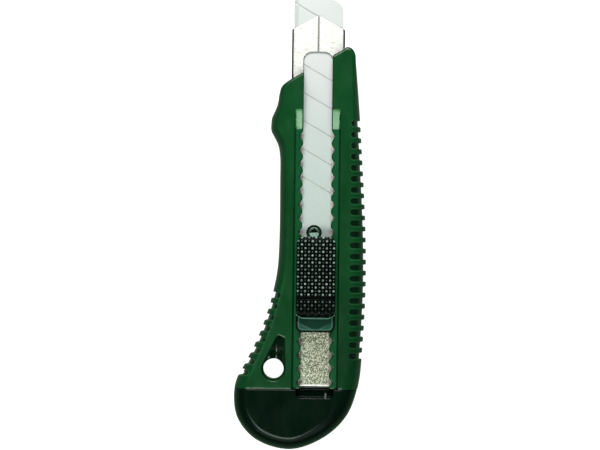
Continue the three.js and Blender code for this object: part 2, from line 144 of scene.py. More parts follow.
# The recess floor: z at y, its rise and bend along y, and its trough, which starts aside of the hole.
TROUGH = {
    "y": 14.3, "z": 9.6, "rise": 0.25, "bend": 0.11, "level": -3.3,
    "hollow": 0.45, "aside": 1.0, "half": 2.2,
}

RAIL = {
    "half": 9.7, "back": 6.6, "top": 9.7, "sheet": 0.5, "end": 0.8, "shoulder": 131.6, "nose": 136.8,
    "bend": 0.95, "inner_bend": 0.45, "seam": 0.1,
}
RAIL_LIP = {"length": 0.7, "slope": 0.35, "half": 9.4}
RAIL_SLOT = {"half": 5.25, "top": 123.4, "corner": 3.0}

BLADE = {
    "half": 9.0, "top": 8.95, "thick": 0.5, "tip": 151.0, "side": 94.8,
    "slope": math.tan(math.radians(30)), "ground": 1.55, "edge": 0.02,
}
BLADE_LINES = {"first": 141.7, "pitch": 10.3, "count": 7, "rim": 0.22, "floor": 0.06, "depth": 0.1}
BLADE_HOLE = {"x": -0.8, "y": 57.2, "r": 2.85}
BLADE_NIP = {"y": 139.2, "normal": (0.9, 0.44, 0)}

STUD = {"head": 2.15, "shank": 1.6, "bottom": 7.25, "under": 8.4, "top": 9.35, "low": 9.1, "rise": 0.2}
STUD_SOCKET = {"half": 1.5, "slope": 0.79, "floor": 8.9}
STUD_ROOM = {"more": 0.1, "middle": 8, "half_height": 1.5}

PAD = {
    "half": 7.1, "front": 55.8, "rear": 26.9, "groove": 33.4, "top": 16.95, "skirt": 14.4, "under": 15.6,
    "front_corner": 2.7, "rear_corner": 2.4, "wall": 0.7, "opening": 6.4,
}
DISH = {"y": 43, "half": 11, "depth": 0.35}
STEM = (4.1, 28.4, 39.4, 12.65, PAD["under"] + 0.4)
KNURL_PITCH = 2.6

# The carrier's boxes, and the spaces in it: half width, y0, y1, z0, z1.
CARRIER = {
    "body": (9.0, 23.6, 62.0, 7.2, 8.35),
    "neck": (4.6, 23.6, 47.5, 7.4, 14.2),
    "plate": (6.2, 26.0, 54.4, 13.15, 14.2),
    "nib": (0.7, 20.5, 23, 13.2, 14.3),
    "pocket": (5.6, 27.6, 41.2, 8.75, 13.15),
    "window": (4.6, 27.6, 41.2, 12.0, 15.5),
    "slit": (4.0, 40.0, 46.4, 8.85, 11.05),
}
PLATE_CHAMFER = 2.7
TAIL = {
    "rear": 20.9, "corner": 2.4, "top": 15.1, "under": 13.15, "front": 26.3,
    "v_slope": 0.5, "v_start": 0.35,
}

CAP_INSET, CAP_POWER = 0.08, 1.9
CAP_WINDOW = {"half": 6.75, "rear": -3.1, "corner": 1.5, "floor": 6.0}
CAP_RIB = (3.75, 4.35, -3.6, -1.5, 5, 13.0)
# The pegs and the tongue that go into the handle: x0, x1, length, z0, z1. The first is the tongue.
CAP_PEGS = [
    (-8.5, 8.5, 13.0, 2.8, 5.2),
    (-26.2, -21.0, 5.5, 4.2, 10.8),
    (10.6, 13.4, 8.0, 4.2, 10.8),
]
PEG_ROOM = 0.15


# ------------------------------------------------------------------ field helpers
def smooth_max(a, b, k):
    """The larger of a and b, with the edge between them rounded over about k."""
    h = np.maximum(k - np.abs(a - b), 0.0) / k
    return np.maximum(a, b) + h * h * k * 0.25


def smooth_min(a, b, k):
    return -smooth_max(-a, -b, k)


def box_field(x, y, z, x0, x1, y0, y1, z0, z1, r=0.0):
    """A box between limits, with edges rounded by r."""
    qx = np.abs(x - (x0 + x1) / 2) - (x1 - x0) / 2 + r
    qy = np.abs(y - (y0 + y1) / 2) - (y1 - y0) / 2 + r
    qz = np.abs(z - (z0 + z1) / 2) - (z1 - z0) / 2 + r
    outside = np.sqrt(np.maximum(qx, 0) ** 2 + np.maximum(qy, 0) ** 2 + np.maximum(qz, 0) ** 2)
    return outside + np.minimum(np.maximum(np.maximum(qx, qy), qz), 0) - r


def centred_box(x, y, z, half, y0, y1, z0, z1, r=0.0):
    """A box with its middle on the blade channel's centreline."""
    return box_field(x, y, z, -half, half, y0, y1, z0, z1, r)


def rect_field(x, y, x0, x1, y0, y1, r):
    """A rectangle in the plane with round corners."""
    qx = np.abs(x - (x0 + x1) / 2) - (x1 - x0) / 2 + r
    qy = np.abs(y - (y0 + y1) / 2) - (y1 - y0) / 2 + r
    return np.hypot(np.maximum(qx, 0), np.maximum(qy, 0)) + np.minimum(np.maximum(qx, qy), 0) - r


def closed_spline(points, per_point):
    """Points on the closed centripetal Catmull-Rom curve through the given points."""
    p = np.array(points, float)
    n = len(p)
    out = []
    for i in range(n):
        q = p[[(i - 1) % n, i, (i + 1) % n, (i + 2) % n]]
        dt = np.linalg.norm(np.diff(q, axis=0), axis=1) ** 0.5
        m1 = ((q[1] - q[0]) / dt[0] - (q[2] - q[0]) / (dt[0] + dt[1]) + (q[2] - q[1]) / dt[1]) * dt[1]
        m2 = ((q[2] - q[1]) / dt[1] - (q[3] - q[1]) / (dt[1] + dt[2]) + (q[3] - q[2]) / dt[2]) * dt[1]
        t = np.arange(per_point)[:, None] / per_point
        out.append(
            (2 * t**3 - 3 * t**2 + 1) * q[1] + (t**3 - 2 * t**2 + t) * m1
            + (3 * t**2 - 2 * t**3) * q[2] + (t**3 - t**2) * m2
        )
    return np.concatenate(out)


class Outline:
    """How deep a point lies inside the outline, and how wide the rounded border next to it is."""

    STEP = 0.2

    def __init__(self):
        line = closed_spline(OUTLINE, 9)
        self.lo = line[:, :2].min(0) - 2
        size = np.ceil((line[:, :2].max(0) + 2 - self.lo) / self.STEP).astype(int) + 1
        gx = self.lo[0] + np.arange(size[0]) * self.STEP
        gy = self.lo[1] + np.arange(size[1]) * self.STEP
        best = np.full(size, 1e9)
        border = np.zeros(size)
        winding = np.zeros(size)
        x, y = gx[:, None], gy[None, :]
        for a, b in zip(line, np.roll(line, -1, axis=0)):
            ex, ey = b[0] - a[0], b[1] - a[1]
            t = np.clip(((x - a[0]) * ex + (y - a[1]) * ey) / (ex * ex + ey * ey), 0, 1)
            d = (x - a[0] - t * ex) ** 2 + (y - a[1] - t * ey) ** 2
            nearer = d < best
            best = np.where(nearer, d, best)
            border = np.where(nearer, a[2] + t * (b[2] - a[2]), border)
            if ey != 0:
                crosses = ((y >= a[1]) != (y >= b[1])) & (x < a[0] + (y - a[1]) * ex / ey)
                winding += crosses
        self.depth_grid = np.sqrt(best) * np.where(winding % 2 == 1, 1, -1)
        self.border_grid = border
        # The left side as x for each y, where the left ribs follow it.
        left = line[(line[:, 1] > 0) & (line[:, 1] < 60) & (line[:, 0] < 0)]
        self.left = left[np.argsort(left[:, 1])]

    def _sample(self, grid, x, y):
        fx = np.clip((x - self.lo[0]) / self.STEP, 0, grid.shape[0] - 1.001)
        fy = np.clip((y - self.lo[1]) / self.STEP, 0, grid.shape[1] - 1.001)
        ix, iy = fx.astype(int), fy.astype(int)
        tx, ty = fx - ix, fy - iy
        low = grid[ix, iy] * (1 - tx) + grid[ix + 1, iy] * tx
        high = grid[ix, iy + 1] * (1 - tx) + grid[ix + 1, iy + 1] * tx
        return low * (1 - ty) + high * ty

    def depth(self, x, y):
        return self._sample(self.depth_grid, x, y)

    def border(self, x, y):
        return self._sample(self.border_grid, x, y)

    def left_x(self, y):
        return np.interp(y, self.left[:, 1], self.left[:, 0])


outline = Outline()


def edge_depth(width):
    """How far down the side a border's rounding reaches: a narrow border is round, a wide one deep."""
    return np.clip(EDGE["per_width"] * width - EDGE["less"], width, EDGE["deepest"])


def outer_form(x, y, z, inset=0.0, power=2.0):
    """The moulded form of handle and cap. Its rounded border is a superellipse of that power."""
    depth = outline.depth(x, y) - inset
    w = np.maximum(outline.border(x, y) - inset, 0.4)
    e = edge_depth(w)
    half = MIDDLE - inset
    qx = (w - depth) / w
    qz = (np.abs(z - MIDDLE) - (half - e)) / e
    px, pz = np.maximum(qx, 1e-6), np.maximum(qz, 1e-6)
    length = (px**power + pz**power) ** (1 / power)
    slope = np.hypot(px ** (power - 1) / w, pz ** (power - 1) / e) / length ** (power - 1)
    rounded = (length - 1) / slope
    flat = np.maximum(-depth, np.abs(z - MIDDLE) - half)
    return np.where((qx > 0) & (qz > 0), rounded, flat)


# ------------------------------------------------------------------ from field to mesh
def steps(*runs):
    """Grid positions from runs of (start, end, step), each starting where the last ended."""
    parts = [np.linspace(a, b, max(2, round((b - a) / s) + 1))[:-1] for a, b, s in runs]
    return np.concatenate(parts + [[runs[-1][1]]])


def skin(field, xs, ys, zs):
    """Points and quads of the surface field = 0: one point in each grid cell that it passes through."""
    f = field(xs[:, None, None], ys[None, :, None], zs[None, None, :])
    f = np.ascontiguousarray(np.broadcast_to(f, (len(xs), len(ys), len(zs))))
    inside = f < 0
    count = np.zeros([n - 1 for n in f.shape], int)
    corners = [(a, b, c) for a in (0, 1) for b in (0, 1) for c in (0, 1)]
    for a, b, c in corners:
        count += inside[a:a + count.shape[0], b:b + count.shape[1], c:c + count.shape[2]]
    cells = np.argwhere((count > 0) & (count < 8))
    number = np.full(count.shape, -1)
    number[tuple(cells.T)] = np.arange(len(cells))

    total = np.zeros((len(cells), 3))
    weight = np.zeros(len(cells))
    for start in corners:
        for axis in range(3):
            if start[axis]:
                continue
            end = list(start)
            end[axis] = 1
            i0, i1 = (cells + start).T, (cells + end).T
            v0, v1 = f[tuple(i0)], f[tuple(i1)]
            hit = (v0 < 0) != (v1 < 0)
            t = np.where(hit, v0 / np.where(hit, v0 - v1, 1), 0)
            p0 = np.stack([xs[i0[0]], ys[i0[1]], zs[i0[2]]], 1)
            p1 = np.stack([xs[i1[0]], ys[i1[1]], zs[i1[2]]], 1)
            total += np.where(hit[:, None], p0 + (p1 - p0) * t[:, None], 0)
            weight += hit
    points = total / weight[:, None]

    quads = []
    for axis in range(3):
        u, v = (axis + 1) % 3, (axis + 2) % 3
        low = [slice(None)] * 3
        high = [slice(None)] * 3
        low[axis], high[axis] = slice(None, -1), slice(1, None)
        changed = np.argwhere(inside[tuple(low)] != inside[tuple(high)])
        keep = (changed[:, u] > 0) & (changed[:, v] > 0)
        keep &= (changed[:, u] < count.shape[u]) & (changed[:, v] < count.shape[v])
        changed = changed[keep]
        ring = []
        for du, dv in ((-1, -1), (0, -1), (0, 0), (-1, 0)):
            cell = changed.copy()
            cell[:, u] += du
            cell[:, v] += dv
            ring.append(number[tuple(cell.T)])
        quad = np.stack(ring, 1)
        flip = ~inside[tuple(changed.T)]
        quad[flip] = quad[flip][:, ::-1]
        quads.append(quad)
    quads = np.concatenate(quads)

    # Draw each point on to the surface itself, never further than a fraction of a cell.
    for _ in range(2):
        value = field(*points.T)
        e = 0.03
        slope = np.stack([
            (field(*(points + np.eye(3)[a] * e).T) - field(*(points - np.eye(3)[a] * e).T)) / (2 * e)
            for a in range(3)
        ], 1)
        size = np.maximum((slope**2).sum(1), 0.05)
        move = -slope * (value / size)[:, None]
        far = np.linalg.norm(move, axis=1)
        points += move * np.minimum(1, 0.12 / np.maximum(far, 1e-9))[:, None]
    return points, quads


def mesh_object(name, points, faces):
    """A mesh object in the row frame, from points in millimetres in the drawing frame."""
    mesh = bpy.data.meshes.new(name)
    mesh.from_pydata((np.asarray(points, float) * MM + ORIGIN).tolist(), [], [list(f) for f in faces])
    mesh.validate()
    obj = bpy.data.objects.new(name, mesh)
    bpy.context.scene.collection.objects.link(obj)
    return obj


def apply_modifiers(obj):
    bpy.context.view_layer.update()
    graph = bpy.context.evaluated_depsgraph_get()
    made = bpy.data.meshes.new_from_object(obj.evaluated_get(graph))
    old = obj.data
    obj.modifiers.clear()
    obj.data = made
    bpy.data.meshes.remove(old)
    made.name = obj.name


def moulded(name, field, xs, ys, zs, node, faces_wanted):
    """A moulded piece: skinned, thinned where it is flat, and kept inside its CAD node's box."""
    points, quads = skin(field, xs, ys, zs)
    obj = mesh_object(name, points, quads)
    ratio = faces_wanted / (2 * len(quads))
    if ratio < 1:
        thin = obj.modifiers.new("thin", "DECIMATE")
        thin.ratio = ratio
        apply_modifiers(obj)
    lo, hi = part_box(node)
    co = np.empty(len(obj.data.vertices) * 3)
    obj.data.vertices.foreach_get("co", co)
    co = np.clip(co.reshape(-1, 3), np.array(lo), np.array(hi))
    obj.data.vertices.foreach_set("co", co.ravel())
    shade_smooth(obj)
    return obj


def paint(obj, name, value):
    """Stores value(x, y, z) of each vertex, in the drawing frame, for the material to read."""
    co = np.empty(len(obj.data.vertices) * 3)
    obj.data.vertices.foreach_get("co", co)
    x, y, z = ((co.reshape(-1, 3) - ORIGIN) / MM).T
    layer = obj.data.attributes.new(name, "FLOAT", "POINT")
    layer.data.foreach_set("value", np.broadcast_to(value(x, y, z), x.shape).astype(np.float32))


def shade_smooth(obj):
    obj.data.polygons.foreach_set("use_smooth", [True] * len(obj.data.polygons))
    weighted = obj.modifiers.new("weighted_normals", "WEIGHTED_NORMAL")
    weighted.weight = 50


# ------------------------------------------------------------------ the moulded pieces
def rib_plan(x, y):
    """The finger grooves of both sides in the plane, negative in the grooves."""
    index = np.clip(np.round((RIGHT_RIBS["first"] - y) / RIB_PITCH), 0, RIGHT_RIBS["count"] - 1)
    dy = y - (RIGHT_RIBS["first"] - index * RIB_PITCH)
    dx = np.maximum(RIGHT_RIBS["inner"] + RIB_SLOT / 2 - x, 0)
    right = np.hypot(dx, dy) - RIB_SLOT / 2

    index = np.clip(np.round((LEFT_RIBS["first"] - y) / RIB_PITCH), 0, LEFT_RIBS["count"] - 1)
    centre = LEFT_RIBS["first"] - index * RIB_PITCH
    dy = y - centre
    inner = outline.left_x(centre) + LEFT_RIBS["reach"]
    dx = np.maximum(x - (inner - RIB_SLOT / 2), 0)
    left = np.hypot(dx, dy) - RIB_SLOT / 2
    return np.minimum(right, left)


def teardrop(x, y):
    """The recess round the hang hole: a round end, tapering to a small round tip."""
    ax, ay = HOLE_APEX["x"] - HOLE["x"], HOLE_APEX["y"] - HOLE["y"]
    length = math.hypot(ax, ay)
    ux, uy = ax / length, ay / length
    px, py = x - HOLE["x"], y - HOLE["y"]
    along = px * ux + py * uy
    across = np.abs(px * uy - py * ux)
    b = (HOLE["rim"] - HOLE_APEX["r"]) / length
    a = math.sqrt(1 - b * b)
    k = along * a - across * b
    middle = across * a + along * b - HOLE["rim"]
    near = np.hypot(across, along) - HOLE["rim"]
    far = np.hypot(across, along - length) - HOLE_APEX["r"]
    return np.where(k < 0, near, np.where(k > a * length, far, middle))


def recess_floor(y):
    """z of the recess beside the slot: the toothed strips, then the ramps up to the handle's face."""
    climb = (y - RAMP_START) * (THICKNESS - STRIP_TOP) / (RAMP_END - RAMP_START)
    return np.clip(STRIP_TOP + climb, STRIP_TOP, THICKNESS + 5)


def handle_field(x, y, z):
    form = outer_form(x, y, z)
    f = np.maximum(form, SEAM_GAP / 2 - y)
    f = smooth_max(f, -smooth_max(rib_plan(x, y), -(form + RIB_DEPTH), 0.35), 0.3)

    ax = np.abs(x)
    recess_half = RECESS_HALF - RECESS_DRAFT * (THICKNESS - z)
    recess = np.maximum((ax - recess_half) * 0.97, recess_floor(y) - z)
    f = smooth_max(f, -recess, 0.35)

    wave = 1 - np.abs(np.sin(math.pi * (y - FIRST_NOTCH) / TOOTH_PITCH))
    slot_half = SLOT_HALF + np.where(y < RAMP_START, TOOTH_DEPTH * wave, 0)
    slot = np.maximum((ax - slot_half) * 0.8, SLOT_FLOOR - z)
    f = smooth_max(f, -slot, 0.42)

    p, g = EAR_POCKET, GUIDE_ROOM
    pocket_height = np.abs(z - p["middle"]) - (STRIP_BOTTOM - p["middle"])
    pocket = np.maximum(np.maximum(ax - p["half"], pocket_height), y - p["front"])
    rail = np.maximum(ax - g["half"], np.abs(z - g["middle"]) - g["half_height"])
    f = np.maximum(f, -np.minimum(pocket, rail))

    t = TROUGH
    climb = np.maximum(y - t["y"], t["level"])
    aside = np.minimum(np.abs(x - HOLE["x"] - t["aside"]), t["half"])
    across = t["hollow"] * np.minimum(aside, 1) * (2 * aside - np.minimum(aside, 1))
    trough = t["z"] + t["rise"] * climb + t["bend"] * climb**2 + across
    for height in (z, THICKNESS - z):
        f = smooth_max(f, -smooth_max(teardrop(x, y), trough - height, 0.8), 0.4)
    hole = np.hypot(x - HOLE["x"], y - HOLE["y"]) - HOLE["r"]
    f = smooth_max(f, -hole, 0.2)

    for x0, x1, length, z0, z1 in CAP_PEGS:
        room = box_field(
            x, y, z, x0 - PEG_ROOM, x1 + PEG_ROOM, -2, length + 0.5, z0 - PEG_ROOM, z1 + PEG_ROOM
        )
        f = np.maximum(f, -room)
    return f


def handle_shade(x, y, z):
    """Painted shade: how dark the handle is painted at its sides and track edges, in its hollows, and at
    the cap.
    """
    depth, border = outline.depth(x, y), outline.border(x, y)
    in_groove = np.clip(-rib_plan(x, y) / 0.3, 0, 1)
    side = 0.75 * np.clip((np.minimum(0.62 * border, 1.9) - depth) / 0.9, 0, 1) * (1 - in_groove)
    grooves = 0.85 * in_groove * np.clip((depth - RIB_DEPTH - 0.35) / 0.5, 0, 1)
    grooves = grooves * (np.abs(z - MIDDLE) < 7.1)
    drop = 0.9 * np.clip(-teardrop(x, y) / 0.3, 0, 1) * (np.abs(z - MIDDLE) < 7)
    ax = np.abs(x)
    behind, below = y < RAMP_START, np.minimum(recess_floor(y), THICKNESS) - 0.04
    teeth = 0.95 * (ax < EAR_POCKET["half"]) * (z < STRIP_TOP - 0.04) * behind
    window = 0.95 * (ax < SLOT_HALF + 0.5) * (y > RAMP_START) * (z < below)
    wall = 0.9 * (ax > 7.8) * (ax < 8.5) * (z > STRIP_TOP + 0.1) * (z < THICKNESS - 0.1) * behind
    crevice = 1.0 * (ax < 9.7) * (y < 1.3) * (z < 8)
    rear_right = 0.4 * np.clip((45 - y) / 35, 0, 1) * (x > 8.3)
    return np.maximum.reduce([side, grooves, drop, teeth, window, wall, crevice, rear_right])


def handle_painted_highlights(x, y, z):
    """Painted highlights: light lines where the left border begins, and round the grooves, where the
    edges catch the light.
    """
    off = outline.depth(x, y) - outline.border(x, y) + 0.1
    fade = np.clip((46 - y) / 10, 0, 1) * np.clip((y - 2) / 4, 0, 1)
    border_line = 0.6 * np.exp(-((off / 0.25) ** 2)) * fade * (x < 0) * (z > 13)
    groove_line = 0.7 * np.exp(-(((rib_plan(x, y) - 0.05) / 0.2) ** 2))
    return np.maximum(border_line, groove_line * (outline.depth(x, y) > 2.2) * (z > 12))


def ramp_painted_highlight(x, y, z):
    """Painted highlight: 1 on the two ramps in front of the toothed strips, where they catch the key
    light.
    """
    on_ramp = (y > RAMP_START) * (y < RAMP_END) * (z > STRIP_TOP - 0.1) * (z < THICKNESS - 0.02)
    return np.clip((8.05 - np.abs(x)) / 0.2, 0, 1) * np.clip((y - RAMP_START) / 0.5, 0, 1) * on_ramp


def strip_painted_light(x, y, z):
    """Painted light: 1 on the toothed strips, which are thin and are painted lighter for the light that
    they let through.
    """
    inner = np.clip((8.1 - np.abs(x)) / 0.3, 0, 1)
    return inner * np.clip((95.5 - y) / 0.6, 0, 1) * np.clip((z - 12.6) / 0.3, 0, 1)


def cap_field(x, y, z):
    f = outer_form(x, y, z, CAP_INSET, CAP_POWER)
    f = np.maximum(f, y + SEAM_GAP / 2)
    w = CAP_WINDOW
    window = rect_field(x, y, -w["half"], w["half"], w["rear"], 6, w["corner"])
    f = smooth_max(f, -np.maximum(window, w["floor"] - z), 0.3)
    for x0, x1, length, z0, z1 in CAP_PEGS:
        f = np.minimum(f, box_field(x, y, z, x0, x1, -2, length, z0, z1, 0.3))
    return smooth_min(f, box_field(x, y, z, *CAP_RIB, 0.12), 0.2)


def rib_top_highlight(x, y, z):
    """Painted highlight: 1 on the top of the small rib in the cap's window, where it catches the light.
    """
    return (np.abs(x - 4.05) < 0.4) * (np.abs(y + 2.2) < 1.0) * (z > 12.4) * (z < 14)


def knurl(x, y):
    """Height and painted highlight of the button's dots: low domes in staggered rows, with small pips
    between.
    """
    pitch = KNURL_PITCH
    row = pitch / 2
    y0 = PAD["front"] - 0.3 - pitch

    def distance(shift):
        """Distance to a lattice of points whose every second row is shifted by half a pitch."""
        best = None
        for offset in (0, row):
            dx = x - shift - offset
            dy = y - y0 - offset
            d = np.hypot(dx - pitch * np.round(dx / pitch), dy - pitch * np.round(dy / pitch))
            best = d if best is None else np.minimum(best, d)
        return best

    clear = np.clip((np.abs(y - PAD["groove"]) - 0.35) / 0.2, 0, 1)
    # The painted highlight is fullest away from the dish's middle, and fades on the rows behind the
    # groove.
    tip_light_level = 0.62 + 0.38 * np.clip(np.abs(y - DISH["y"]) / 4, 0, 1)
    rear = np.clip(0.62 - 0.11 * (PAD["groove"] - y), 0.1, 1)
    tip_light_level = np.where(y < PAD["groove"], rear, tip_light_level)

    def dome(d, radius, height, crown):
        return np.clip((radius - d) / 0.16, 0, 1) * (height - crown * (d / radius) ** 2)

    def lit_spot(d, radius):
        return np.clip((radius - d) / 0.14, 0, 1)

    big, small = distance(0.0), distance(row)
    uneven = 0.74 + 0.26 * np.sin(7.3 * np.round(x / row) + 3.1 * np.round((y - y0) / row) ** 2)
    height = dome(big, 0.54, 0.45, 0.12) + dome(small, 0.34, 0.26, 0.05)
    return height * clear, (lit_spot(big, 0.47) * uneven + 0.4 * lit_spot(small, 0.27)) * tip_light_level * clear


def button_field(x, y, z):
    p = PAD
    front = rect_field(x, y, -p["half"], p["half"], p["rear"] - 8, p["front"], p["front_corner"])
    rear = rect_field(x, y, -p["half"], p["half"], p["rear"], p["front"] + 8, p["rear_corner"])
    plan = np.maximum(front, rear)
    fall_front = np.maximum(y - (p["front"] - 2.2), 0) ** 2 * 0.12
    fall_rear = np.maximum(p["groove"] - y, 0) * 0.03 + np.maximum(p["rear"] + 1.4 - y, 0) ** 2 * 0.2
    groove = 0.6 * np.exp(-(((y - p["groove"]) / 0.3) ** 2))
    edge = np.clip((-plan - 0.15) / 0.35, 0, 1)
    dish = DISH["depth"] * (1 - np.minimum(np.abs(y - DISH["y"]) / DISH["half"], 1) ** 2)
    top = p["top"] - dish - fall_front - fall_rear - groove + knurl(x, y)[0] * edge
    f = smooth_max(plan, (z - top) * 0.75, 0.4)
    f = smooth_max(f, p["skirt"] - z, 0.2)
    hollow = np.maximum(np.maximum(plan + p["wall"], z - p["under"]), p["skirt"] - 2 - z)
    f = np.maximum(f, -hollow)
    opening = centred_box(x, y, z, p["opening"], p["rear"] - 1, p["rear"] + 2, 13, p["under"])
    f = np.maximum(f, -opening)
    return np.minimum(f, centred_box(x, y, z, *STEM, 0.15))


def tail_side(x, y):
    """The tail in the plane, but for its front edge."""
    return rect_field(x, y, -PAD["half"], PAD["half"], TAIL["rear"], 40, TAIL["corner"])


def tail_bow(x):
    """y of the tail's front edge, which bends forward at both corners."""
    return TAIL["front"] + 0.28 * np.maximum(np.abs(x) - 4.4, 0) ** 1.5


def tail_painted_highlight(x, y):
    """Painted highlight: 1 on the lines that catch the light: the front edge, the sides and the V."""
    front = np.clip((y - tail_bow(x) + 0.55) / 0.2, 0, 1)
    side = 0.5 * np.exp(-(((tail_side(x, y) + 1.0) / 0.18) ** 2))
    crease = 0.5 * np.exp(-((tail_corner(x, y) / 0.16) ** 2)) * np.clip(1.4 - np.abs(x) / 4, 0, 1)
    return np.maximum(np.maximum(front, side), crease)


def tail_corner(x, y):
    """Distance past the V-shaped line on the tail: positive on the two corner facets."""
    slope = TAIL["v_slope"]
    return (slope * np.abs(x) - (y - TAIL["rear"] - TAIL["v_start"])) / math.hypot(1, slope)


def on_tail(y, z):
    """1 on the part of the carrier that shows behind the button."""
    return (y < 27.4) * (z > 14.3)


def tail_painted_shadow(x, y, z):
    """Painted shadow: 1 on the outer edge of the tail, painted dark for the shadow round it."""
    return np.clip((tail_side(x, y) + 0.75) / 0.15, 0, 1) * (y < 27) * (z > 13)


def carrier_field(x, y, z):
    def part(name, r=0.0):
        return centred_box(x, y, z, *CARRIER[name], r)

    body, neck, plate = part("body", 0.3), part("neck", 0.2), part("plate", 0.2)
    half, _, front, _, _ = CARRIER["plate"]
    plate = smooth_max(plate, (np.abs(x) - half + y - front + PLATE_CHAMFER) / math.sqrt(2), 0.2)
    f = np.minimum(np.minimum(body, neck), plate)

    # The tail: a flat middle, and two corner facets that fall away from it behind a V-shaped line.
    side, bow, corner = tail_side(x, y), tail_bow(x), tail_corner(x, y)
    top = TAIL["top"] - 0.07 * np.maximum(corner, 0)
    top = top + 0.07 * np.exp(-((corner / 0.14) ** 2))
    top = top + 0.25 * np.clip((y - bow) / 0.45 + 1, 0, 1) ** 2
    top = top + 0.12 * np.clip(side / 0.4 + 1, 0, 1) ** 2
    tail = smooth_max(smooth_max(side, y - bow, 0.2), (z - top) * 0.9, 0.2)
    tail = smooth_max(tail, TAIL["under"] - z, 0.2)
    f = np.minimum(f, np.minimum(tail, part("nib", 0.1)))

    room = STUD_ROOM
    stud = np.hypot(x - BLADE_HOLE["x"], y - BLADE_HOLE["y"]) - (STUD["shank"] + room["more"])
    stud = np.maximum(stud, np.abs(z - room["middle"]) - room["half_height"])
    spaces = np.minimum(np.minimum(part("pocket"), part("window")), np.minimum(part("slit"), stud))
    return np.maximum(f, -spaces)


def rail_field(x, y, z):
    """Sheet folded into a channel. Its lips leave a slot with round corners, and meet in the nose."""
    r = RAIL
    middle = (r["back"] + r["top"]) / 2
    half_height = (r["top"] - r["back"]) / 2

    def section(shrink, radius):
        qx = np.abs(x) - (r["half"] - shrink) + radius
        qz = np.abs(z - middle) - (half_height - shrink) + radius
        outside = np.hypot(np.maximum(qx, 0), np.maximum(qz, 0))
        return outside + np.minimum(np.maximum(qx, qz), 0) - radius

    f = np.maximum(section(0, r["bend"]), -section(r["sheet"], r["inner_bend"]))
    s = RAIL_SLOT
    slot = rect_field(x, y, -s["half"], s["half"], -10, s["top"], s["corner"])
    seam = np.maximum(np.abs(x) - r["seam"], s["top"] - 1 - y)
    opening = np.maximum(np.minimum(slot, seam), middle - z)
    f = smooth_max(f, -opening, 0.15)
    tilt = (r["nose"] - r["shoulder"]) / r["half"]
    nose = (y - (r["nose"] - np.abs(x) * tilt)) / math.hypot(1, tilt)
    f = smooth_max(f, nose, 0.15)
    # The back sheet's rear edge is turned up a little.
    floor = r["back"] + r["sheet"]
    turned_up = RAIL_LIP["slope"] * (r["end"] + RAIL_LIP["length"] - y)
    lip = np.maximum(z - floor - turned_up, floor - 0.2 - z)
    f = np.minimum(f, np.maximum(lip, np.abs(x) - RAIL_LIP["half"]))
    return smooth_max(f, r["end"] - y, 0.15)


def guide_stain_and_shade(x, y, z):
    """Stain and painted shade: 1 at the outer bends, painted dark for their dark reflection; less along
    the sheared edges of its slot and seam in front, partly stain and partly painted shadow; and on the
    rear lips, painted shade under the teeth.
    """
    s = RAIL_SLOT
    slot = rect_field(x, y, -s["half"], s["half"], -10, s["top"], s["corner"])
    seam = np.where(y > s["top"], np.abs(x) - RAIL["seam"], 9)
    edge_and_rear_shade = 0.75 * np.exp(-((np.minimum(np.abs(slot), np.abs(seam)) / 0.2) ** 2))
    bend = np.clip((np.abs(x) - 8.95) / 0.35, 0, 1)
    edge_and_rear_shade = np.where(y > RAMP_START, edge_and_rear_shade, 0.55 * np.clip((24 - y) / 3, 0, 1))
    return np.maximum(bend, np.where(z > 9.0, edge_and_rear_shade, 0))


def guide_lip_light(x, y, z):
    """Painted light: 1 on the guide's lips where they show in the notches, painted lighter against the
    shade of the teeth.
    """
    return (z > 9.2) * (y < RAMP_START) * np.clip((9.2 - np.abs(x)) / 0.3, 0, 1)


